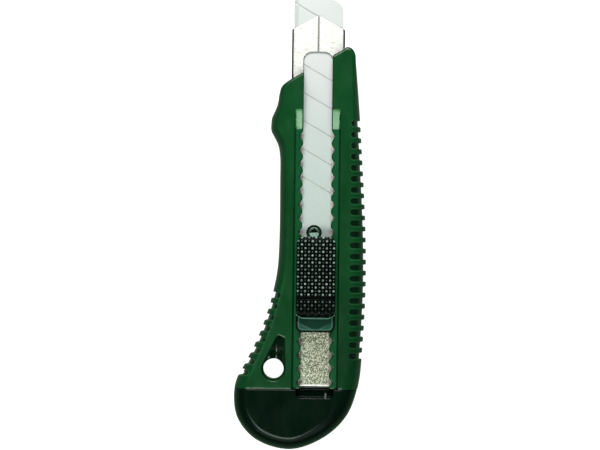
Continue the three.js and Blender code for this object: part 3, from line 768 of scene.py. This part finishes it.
# ------------------------------------------------------------------ steel pieces drawn point by point
def blade():
    """A grid of points skewed along the score lines, with the ground edge, the grooves and the hole."""
    b = BLADE
    bottom = b["top"] - b["thick"]
    middle = (b["top"] + bottom) / 2
    columns = [-b["half"], -b["half"] + 0.45, -b["half"] + b["ground"]]
    columns += list(np.linspace(-b["half"] + 1.7, b["half"] - 0.12, 24)) + [b["half"]]
    land = b["tip"] - b["side"]
    score = BLADE_LINES
    cuts = [score["first"] - i * score["pitch"] for i in range(score["count"])]
    rows = {land: 0.0, b["tip"]: 0.0}
    for y in np.arange(land + 1.2, b["tip"] - 0.6, 2.1):
        if min(abs(y - c) for c in cuts) > 0.5:
            rows[y] = 0.0
    for c in cuts:
        rows.update({c - score["rim"]: 0.0, c - score["floor"]: score["depth"]})
        rows.update({c + score["floor"]: score["depth"], c + score["rim"]: 0.0})
    ordered = sorted(rows)

    def height(x):
        run = x + b["half"]
        if run < 0.5:
            return b["edge"] + (b["thick"] / 2 - 0.06) * run / b["ground"]
        if run < b["ground"] + 0.01:
            return b["edge"] + (b["thick"] / 2 - b["edge"]) * run / b["ground"]
        return b["thick"] / 2 if x < b["half"] - 0.06 else b["thick"] / 2 - 0.05

    points, faces = [], []
    nx, ny = len(columns), len(ordered)
    for side in (1, -1):
        for y in ordered:
            for x in columns:
                h = height(x)
                cut = min(rows[y], h - 0.01) if side > 0 else 0
                points.append((x, y - (x + b["half"]) * b["slope"], middle + side * h - cut))
    other = nx * ny
    for j in range(ny - 1):
        for i in range(nx - 1):
            a = j * nx + i
            faces.append((a, a + 1, a + nx + 1, a + nx))
            faces.append((other + a, other + a + nx, other + a + nx + 1, other + a + 1))
    loop = [j * nx for j in range(ny - 1, 0, -1)] + list(range(nx - 1))
    loop += [j * nx + nx - 1 for j in range(ny - 1)] + [(ny - 1) * nx + i for i in range(nx - 1, 0, -1)]
    for a, c in zip(loop, loop[1:] + loop[:1]):
        faces.append((a, other + a, other + c, c))
    obj = mesh_object("blade_strip", points, faces)

    def at(x, y, z):
        return Vector(np.array([x, y, z]) * MM + ORIGIN)

    # The blunt front corner is nipped off steeply.
    shape = bmesh.new()
    shape.from_mesh(obj.data)
    everything = shape.verts[:] + shape.edges[:] + shape.faces[:]
    bmesh.ops.bisect_plane(
        shape, geom=everything, plane_co=at(b["half"], BLADE_NIP["y"], middle),
        plane_no=BLADE_NIP["normal"], clear_outer=True,
    )
    rim = [e for e in shape.edges if e.is_boundary]
    bmesh.ops.holes_fill(shape, edges=rim)
    bmesh.ops.recalc_face_normals(shape, faces=shape.faces)
    shape.to_mesh(obj.data)
    shape.free()
    cutter = lathe(
        "hole_cutter", [(0, -2), (BLADE_HOLE["r"], -2), (BLADE_HOLE["r"], 2), (0, 2)],
        (BLADE_HOLE["x"], BLADE_HOLE["y"], middle), 64,
    )
    cut = obj.modifiers.new("hole", "BOOLEAN")
    cut.object = cutter
    cut.operation = "DIFFERENCE"
    cut.solver = "EXACT"
    apply_modifiers(obj)
    bpy.data.objects.remove(cutter)
    return obj


def score_shade_mask(x, y, z):
    """Painted shade: 1 at the bottom of each score line, 0 from its edges outwards."""
    b = BLADE_LINES
    along = y + (x + BLADE["half"]) * BLADE["slope"]
    index = np.clip(np.round((b["first"] - along) / b["pitch"]), 0, b["count"] - 1)
    return (np.abs(along - (b["first"] - index * b["pitch"])) < 0.1) * (z > BLADE["top"] - 0.25)


def lit_toward_tip(x, y, z):
    """Painted light: rises from 0 at the middle of the blade to 1 near its tip, along the score lines,
    as the light falls brighter toward the tip.
    """
    return np.clip((y + 0.58 * (x + BLADE["half"]) - 85) / 38, 0, 1)


def lathe(name, profile, centre, sides):
    """A turned piece from (radius, height) points, the first and last on the axis."""
    points = [(0, 0, profile[0][1])]
    for r, h in profile[1:-1]:
        for i in range(sides):
            a = 2 * math.pi * i / sides
            points.append((r * math.cos(a), r * math.sin(a), h))
    points.append((0, 0, profile[-1][1]))
    faces = []
    rings = len(profile) - 2
    for i in range(sides):
        j = (i + 1) % sides
        faces.append((0, 1 + j, 1 + i))
        for k in range(rings - 1):
            a, b = 1 + k * sides, 1 + (k + 1) * sides
            faces.append((a + i, a + j, b + j, b + i))
        last = 1 + (rings - 1) * sides
        faces.append((len(points) - 1, last + i, last + j))
    return mesh_object(name, np.array(points) + np.array(centre), faces)


def stud_pocket(x, y):
    """The stud's three-sided socket in the plane: its base is across the middle, its tip in front."""
    dx, dy = np.abs(x - BLADE_HOLE["x"]), y - BLADE_HOLE["y"]
    half, slope = STUD_SOCKET["half"], STUD_SOCKET["slope"]
    return np.maximum((dx - half + slope * dy) / math.hypot(1, slope), -dy)


def stud_field(x, y, z):
    """Stud with a round head: behind, a facet that rises to the rear; in front, a three-sided socket."""
    s = STUD
    dx, dy = x - BLADE_HOLE["x"], y - BLADE_HOLE["y"]
    r = np.hypot(dx, dy)
    top = np.where(dy > 0, s["top"], s["low"] + s["rise"] * -dy)
    f = smooth_max(r - s["head"], (z - top) * 0.9, 0.5)
    f = smooth_max(f, -np.maximum(stud_pocket(x, y), STUD_SOCKET["floor"] - z), 0.12)
    f = smooth_max(f, s["under"] - z, 0.1)
    shank = np.maximum(r - s["shank"], np.maximum(s["bottom"] - z, z - 9.0))
    return np.minimum(f, shank)


def stud_socket_shade(x, y, z):
    """Painted shade: 1 in the stud's socket."""
    return np.clip(0.5 - stud_pocket(x, y) / 0.1, 0, 1) * (z < 9.34)


# ------------------------------------------------------------------ materials
def new_material(name):
    material = bpy.data.materials.new(name)
    material.use_nodes = True
    nodes, links = material.node_tree.nodes, material.node_tree.links
    nodes.clear()
    output = nodes.new("ShaderNodeOutputMaterial")
    shader = nodes.new("ShaderNodeBsdfPrincipled")
    links.new(shader.outputs[0], output.inputs[0])
    return material, nodes, links, shader


def noise(nodes, links, scale, detail=4.0, stretch=(1, 1, 1), rough=0.55):
    """Noise over the object's own coordinates; scale is in waves per metre."""
    where = nodes.new("ShaderNodeTexCoord")
    mapping = nodes.new("ShaderNodeMapping")
    mapping.inputs["Scale"].default_value = stretch
    texture = nodes.new("ShaderNodeTexNoise")
    texture.inputs["Scale"].default_value = scale
    texture.inputs["Detail"].default_value = detail
    texture.inputs["Roughness"].default_value = rough
    links.new(where.outputs["Object"], mapping.inputs[0])
    links.new(mapping.outputs[0], texture.inputs["Vector"])
    return texture.outputs[0]


def ramp(nodes, links, source, stops):
    node = nodes.new("ShaderNodeValToRGB")
    elements = node.color_ramp.elements
    while len(elements) < len(stops):
        elements.new(0.5)
    for element, (position, value) in zip(elements, stops):
        element.position = position
        element.color = (*value, 1) if isinstance(value, tuple) else (value, value, value, 1)
    links.new(source, node.inputs[0])
    return node.outputs[0]


def math_node(nodes, links, operation, *values):
    node = nodes.new("ShaderNodeMath")
    node.operation = operation
    for socket, value in zip(node.inputs, values):
        if isinstance(value, (int, float)):
            socket.default_value = value
        else:
            links.new(value, socket)
    return node.outputs[0]


def bump(nodes, links, shader, source, strength, distance):
    node = nodes.new("ShaderNodeBump")
    node.inputs["Strength"].default_value = strength
    node.inputs["Distance"].default_value = distance
    links.new(source, node.inputs["Height"])
    links.new(node.outputs[0], shader.inputs["Normal"])
    return node


def blend_colour(nodes, links, attribute, base, other):
    """The base colour, turning into the other one where the painted attribute is 1."""
    painted = nodes.new("ShaderNodeAttribute")
    painted.attribute_name = attribute
    mix = nodes.new("ShaderNodeMix")
    mix.data_type = "RGBA"
    links.new(painted.outputs["Fac"], mix.inputs["Factor"])
    links.new(base, mix.inputs["A"])
    if isinstance(other, tuple):
        mix.inputs["B"].default_value = (*other, 1)
    else:
        links.new(other, mix.inputs["B"])
    return mix.outputs["Result"]


def plastic(name, dark, light, roughness, grain, ior=1.49, painted=()):
    """Moulded plastic: slightly uneven colour, handled gloss, and a fine moulded grain.

    painted lists painted attributes and the colour that each brings in.
    """
    material, nodes, links, shader = new_material(name)
    cloud = noise(nodes, links, 90, 3)
    colour = ramp(nodes, links, cloud, [(0.35, dark), (0.65, light)])
    for attribute, other in painted:
        colour = blend_colour(nodes, links, attribute, colour, other)
    links.new(colour, shader.inputs["Base Color"])
    smear = noise(nodes, links, 260, 5, (1, 0.35, 1))
    gloss = ramp(nodes, links, smear, [(0.35, roughness[0]), (0.7, roughness[1])])
    links.new(gloss, shader.inputs["Roughness"])
    bump(nodes, links, shader, noise(nodes, links, 3200, 3), grain, 0.00004)
    shader.inputs["IOR"].default_value = ior
    return material


def steel(name, dark, light, roughness, stretch, scale, strength, painted=(), spread=(0.3, 0.7)):
    """Sheet steel with a drawn grain: noise pulled out along the rolling direction."""
    material, nodes, links, shader = new_material(name)
    shader.inputs["Metallic"].default_value = 1.0
    lines = noise(nodes, links, scale, 4, stretch)
    colour = ramp(nodes, links, lines, [(spread[0], dark), (spread[1], light)])
    for attribute, other in painted:
        colour = blend_colour(nodes, links, attribute, colour, other)
    links.new(colour, shader.inputs["Base Color"])
    stains = noise(nodes, links, 180, 4)
    gloss = ramp(nodes, links, stains, [(0.3, roughness[0]), (0.7, roughness[1])])
    links.new(gloss, shader.inputs["Roughness"])
    bump(nodes, links, shader, lines, strength, 0.00003)
    return material


def galvanised():
    """The guide's inside: zinc speckle, one grain about half a millimetre across."""
    material, nodes, links, shader = new_material("guide_inside")
    shader.inputs["Metallic"].default_value = 1.0
    speckle = noise(nodes, links, 2200, 2, (1, 1, 1), 0.7)
    grains = [(0.38, (0.08, 0.08, 0.05)), (0.5, (0.42, 0.41, 0.3)), (0.6, (0.95, 0.92, 0.77))]
    colour = ramp(nodes, links, speckle, grains)
    links.new(colour, shader.inputs["Base Color"])
    links.new(ramp(nodes, links, speckle, [(0.3, 0.5), (0.7, 0.32)]), shader.inputs["Roughness"])
    bump(nodes, links, shader, speckle, 0.5, 0.00008)
    return material


GREEN = plastic(
    "green_abs", (0.0028, 0.055, 0.013), (0.0045, 0.070, 0.018), (0.16, 0.27), 0.12,
    # Painted light and shade: the strips and ramps are painted lighter, the crest lines are painted
    # highlights, and the shade darkens sides, hollows and edges.
    painted=[
        ("strip_painted_light", (0.0045, 0.088, 0.026)),
        ("ramp", (0.05, 0.26, 0.08)),
        ("crest_highlight", (0.025, 0.15, 0.055)),
        ("shade", (0.0006, 0.011, 0.0035)),
    ],
)
CAP_GREEN = plastic(
    "dark_green_abs", (0.0008, 0.0082, 0.0038), (0.0013, 0.0106, 0.005), (0.12, 0.22), 0.1, 1.28,
    # The rib's top carries a painted highlight.
    painted=[("rib_top_highlight", (0.2, 0.26, 0.22))],
)
BLACK = plastic(
    "black_nylon", (0.0004, 0.0018, 0.0011), (0.0008, 0.003, 0.0018), (0.16, 0.28), 0.1, 1.12,
    # The dot tips carry a painted highlight.
    painted=[("tip_highlight", (0.34, 0.46, 0.4))],
)
TAIL_BLACK = plastic(
    "black_nylon_polished", (0.005, 0.026, 0.017), (0.010, 0.046, 0.030), (0.2, 0.32), 0.1, 1.2,
    # Painted reflection on the corner facets, painted highlights on the rims, and painted shadow on the
    # outline.
    painted=[
        ("corner", (0.02, 0.09, 0.058)),
        ("rim", (0.13, 0.3, 0.22)),
        ("outline", (0.0003, 0.001, 0.0006)),
    ],
)
GUIDE = steel(
    "guide_outside", (0.62, 0.56, 0.48), (0.9, 0.89, 0.87), (0.5, 0.6), (1, 12, 1), 420, 0.35,
    # The lips are painted lighter against the shade of the notches; the stain is partly stain and partly
    # painted shade.
    painted=[("lip", (1.0, 0.97, 0.9)), ("stain_and_shade", (0.07, 0.055, 0.04))], spread=(0.36, 0.46),
)
GUIDE_INSIDE = galvanised()
BLADE_STEEL = steel(
    "blade_ground", (0.63, 0.69, 0.67), (0.69, 0.75, 0.73), (0.5, 0.58), (9, 1, 1), 700, 0.12,
    # Painted light toward the tip, and painted shade beyond the guide's nose and in the score lines.
    painted=[
        ("lit_toward_tip", (0.74, 0.735, 0.745)),
        ("open_tip_shade", (0.66, 0.667, 0.664)),
        ("score_line_shade", (0.52, 0.5, 0.48)),
    ],
)
STUD_STEEL = steel(
    "stud_polished", (0.15, 0.23, 0.19), (0.19, 0.28, 0.23), (0.4, 0.5), (1, 1, 1), 900, 0.05,
    # The socket is painted shade.
    painted=[("socket", (0.01, 0.025, 0.015))],
)
SPRING_STEEL = steel(
    "spring_rolled", (0.4, 0.4, 0.38), (0.5, 0.5, 0.47), (0.25, 0.4), (8, 1, 1), 600, 0.2,
)


# ------------------------------------------------------------------ putting the pieces on the frame
# Each moulded piece is given the runs of its grid, which is finest where the piece has its detail.
def fit(obj, body, node, slot, *materials):
    obj.data.materials.clear()
    for material in materials:
        obj.data.materials.append(material)
    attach(obj, body)
    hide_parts(node)


handle = moulded(
    "handle_shell", handle_field,
    steps((-30.6, -9.0, 0.36), (-9.0, -4.8, 0.21), (-4.8, 4.8, 0.8), (4.8, 9.0, 0.21), (9.0, 19.2, 0.3)),
    steps((-0.6, 126.0, 0.27)),
    steps((-0.6, 1.5, 0.3), (1.5, 6.0, 0.56), (6.0, 15.6, 0.26)),
    "handle_body", 190000,
)
fit(handle, "handle", "handle_body", "handle_plastic", GREEN)
paint(handle, "strip_painted_light", strip_painted_light)
paint(handle, "ramp", ramp_painted_highlight)
paint(handle, "crest_highlight", handle_painted_highlights)
paint(handle, "shade", handle_shade)

cap = moulded(
    "end_cap_shell", cap_field,
    steps((-30.6, -7.2, 0.3), (-7.2, -6.0, 0.15), (-6.0, 3.3, 0.3), (3.3, 4.8, 0.12), (4.8, 16.5, 0.3)),
    steps((-23.2, -4.0, 0.3), (-4.0, -1.2, 0.14), (-1.2, 13.6, 0.3)),
    steps((-0.6, 15.6, 0.3)),
    "end_cap", 100000,
)
fit(cap, "cap", "end_cap", "cap_plastic", CAP_GREEN)
paint(cap, "rib_top_highlight", rib_top_highlight)

guide = moulded(
    "guide_channel", rail_field,
    steps((-10.0, -8.8, 0.12), (-8.8, -5.4, 0.4), (-5.4, -1.8, 0.2), (-1.8, -0.3, 0.3),
          (-0.3, 0.3, 0.05), (0.3, 1.8, 0.3), (1.8, 5.4, 0.2), (5.4, 8.8, 0.4), (8.8, 10.0, 0.12)),
    steps((0.6, 2.0, 0.15), (2.0, 119.0, 0.8), (119.0, 137.6, 0.2)),
    steps((6.3, 7.5, 0.12), (7.5, 8.9, 0.2), (8.9, 10.0, 0.12)),
    "blade_guide_rail", 80000,
)
fit(guide, "handle", "blade_guide_rail", "guide_steel", GUIDE, GUIDE_INSIDE)
paint(guide, "lip", guide_lip_light)
paint(guide, "stain_and_shade", guide_stain_and_shade)
inner_back = ORIGIN[2] + (RAIL["back"] + RAIL["sheet"] + 0.05) * MM
turned_edge = ORIGIN[1] + (RAIL["end"] + RAIL_LIP["length"]) * MM
for face in guide.data.polygons:
    inside = face.normal.z > 0.7 and face.center.z < inner_back and face.center.y > turned_edge
    face.material_index = int(inside)

button = moulded(
    "button_pad", button_field,
    steps((-7.5, 7.5, 0.13)), steps((26.2, 56.0, 0.13)), steps((12.3, 15.9, 0.3), (15.9, 17.8, 0.13)),
    "thumb_button", 120000,
)
fit(button, "button", "thumb_button", "slider_plastic", BLACK)
# The dot tips get a painted highlight, on their tops only.
paint(button, "tip_highlight", lambda x, y, z: knurl(x, y)[1] * np.clip((z - 15.9) / 0.3, 0, 1))

carrier = moulded(
    "carrier_moulding", carrier_field,
    steps((-9.4, 9.4, 0.2)), steps((20.8, 28.5, 0.15), (28.5, 62.4, 0.3)), steps((6.9, 16.6, 0.18)),
    "slider_carrier", 90000,
)
fit(carrier, "slider", "slider_carrier", "slider_plastic", TAIL_BLACK)
# Painted light and shade on the tail: a painted reflection on its corner facets, painted highlights on
# its rims, and a painted shadow round its outline.
paint(carrier, "corner", lambda x, y, z: np.clip(tail_corner(x, y) / 1.6 + 0.45, 0, 1) * on_tail(y, z))
paint(carrier, "rim", lambda x, y, z: tail_painted_highlight(x, y) * on_tail(y, z))
paint(carrier, "outline", tail_painted_shadow)

strip = blade()
fit(strip, "slider", "snap_off_blade", "blade_steel", BLADE_STEEL)
paint(strip, "lit_toward_tip", lit_toward_tip)
# Painted shade: beyond the guide's nose the blade is painted a little darker, to temper the light that
# it catches in the open.
paint(strip, "open_tip_shade", lambda x, y, z: np.clip((y - 126) / 6, 0, 1))
paint(strip, "score_line_shade", score_shade_mask)

stud = moulded(
    "stud_turned", stud_field,
    steps((-3.2, 1.6, 0.09)), steps((54.8, 59.6, 0.09)), steps((7.1, 8.3, 0.15), (8.3, 9.8, 0.07)),
    "blade_stud", 30000,
)
fit(stud, "slider", "blade_stud", "stud_steel", STUD_STEEL)
# Painted shade in the stud's socket.
paint(stud, "socket", stud_socket_shade)

spring = frame["nodes"]["lock_spring"]
spring.data.materials.clear()
spring.data.materials.append(SPRING_STEEL)

# ------------------------------------------------------------------ stage, light and camera
CENTRE = (Vector(cad_bounds[0]) + Vector(cad_bounds[1])) / 2
FLOOR_GAP = 0.3
TABLE_LIGHT = (0.1, 0.24, 0.12)
CAMERA = {"lens": 150.0, "sensor": 36.0, "view_width": 0.2198, "roll": 0.7, "aim": (-6.0, 60.0, 10.0)}


def floor():
    """A white table just under the knife, which neither lights it nor shows in its reflections."""
    bm = bmesh.new()
    bmesh.ops.create_grid(bm, x_segments=8, y_segments=8, size=3.0)
    mesh = bpy.data.meshes.new("floor")
    bm.to_mesh(mesh)
    bm.free()
    obj = bpy.data.objects.new("floor", mesh)
    bpy.context.scene.collection.objects.link(obj)
    obj.location.z = HANDLE_BOX[0].z - FLOOR_GAP * MM
    obj.visible_diffuse = False
    obj.visible_glossy = False
    material, nodes, links, shader = new_material("white_table")
    shader.inputs["Base Color"].default_value = (0.3, 0.3, 0.3, 1)
    shader.inputs["Roughness"].default_value = 0.8
    shader.inputs["Emission Color"].default_value = (1, 1, 1, 1)
    shader.inputs["Emission Strength"].default_value = 1.0
    obj.data.materials.append(material)


def world():
    """Soft banks of light over the tip and over the cap, dark overhead, and faint light from below."""
    scene_world = bpy.data.worlds.new("studio")
    bpy.context.scene.world = scene_world
    scene_world.use_nodes = True
    nodes, links = scene_world.node_tree.nodes, scene_world.node_tree.links
    nodes.clear()
    where = nodes.new("ShaderNodeTexCoord")
    split = nodes.new("ShaderNodeSeparateXYZ")
    background = nodes.new("ShaderNodeBackground")
    output = nodes.new("ShaderNodeOutputWorld")
    links.new(where.outputs["Generated"], split.inputs[0])
    height = ramp(nodes, links, split.outputs["Z"], [(0.3, 0.0), (0.6, 1.0), (0.86, 0.8), (0.95, 0.0)])
    along = math_node(nodes, links, "ABSOLUTE", split.outputs["Y"])
    across = math_node(nodes, links, "ABSOLUTE", split.outputs["X"])
    ahead = math_node(nodes, links, "SUBTRACT", along, across)
    bank = ramp(nodes, links, ahead, [(0.0, 0.0), (0.2, 1.0)])
    lit = math_node(nodes, links, "MULTIPLY", height, bank)
    level = math_node(nodes, links, "MULTIPLY_ADD", lit, 0.8, 0.05)
    links.new(level, background.inputs["Color"])
    below = math_node(nodes, links, "MULTIPLY", split.outputs["Z"], -1.0)
    table = nodes.new("ShaderNodeBackground")
    links.new(ramp(nodes, links, below, [(0.0, 0.0), (0.25, TABLE_LIGHT)]), table.inputs["Color"])
    both = nodes.new("ShaderNodeAddShader")
    links.new(background.outputs[0], both.inputs[0])
    links.new(table.outputs[0], both.inputs[1])
    links.new(both.outputs[0], output.inputs[0])


def softbox(name, azimuth, elevation, distance, size, power, colour=(1, 1, 1)):
    """A rectangular light aimed at the knife. Azimuth 0 is +X, 90 is +Y."""
    data = bpy.data.lights.new(name, "AREA")
    data.shape = "RECTANGLE"
    data.size, data.size_y = size
    data.energy = power
    data.color = colour
    obj = bpy.data.objects.new(name, data)
    bpy.context.scene.collection.objects.link(obj)
    a, e = math.radians(azimuth), math.radians(elevation)
    direction = Vector((math.cos(a) * math.cos(e), math.sin(a) * math.cos(e), math.sin(e)))
    obj.location = CENTRE + direction * distance
    obj.rotation_euler = (-direction).to_track_quat("-Z", "Y").to_euler()


def camera():
    """Straight down, with a long lens; the picture is rolled a little against the knife."""
    c = CAMERA
    aim = Vector(ORIGIN + np.array(c["aim"]) * MM)
    data = bpy.data.cameras.new("camera")
    data.lens, data.sensor_width = c["lens"], c["sensor"]
    data.clip_start, data.clip_end = 0.01, 50
    obj = bpy.data.objects.new("camera", data)
    bpy.context.scene.collection.objects.link(obj)
    obj.location = aim + Vector((0, 0, c["view_width"] * c["lens"] / c["sensor"]))
    obj.rotation_euler = (0, 0, math.radians(c["roll"]))
    bpy.context.scene.camera = obj


floor()
world()
softbox("key", 258, 62, 0.9, (0.4, 0.3), 2.8, (0.86, 1.0, 0.9))
softbox("front", 90, 58, 0.9, (0.4, 0.24), 2.0, (0.94, 1.0, 0.95))
softbox("head_light", 92, 35, 0.24, (0.1, 0.06), 0.25)
camera()
bpy.context.scene.view_settings.view_transform = "Standard"

bpy.context.view_layer.update()
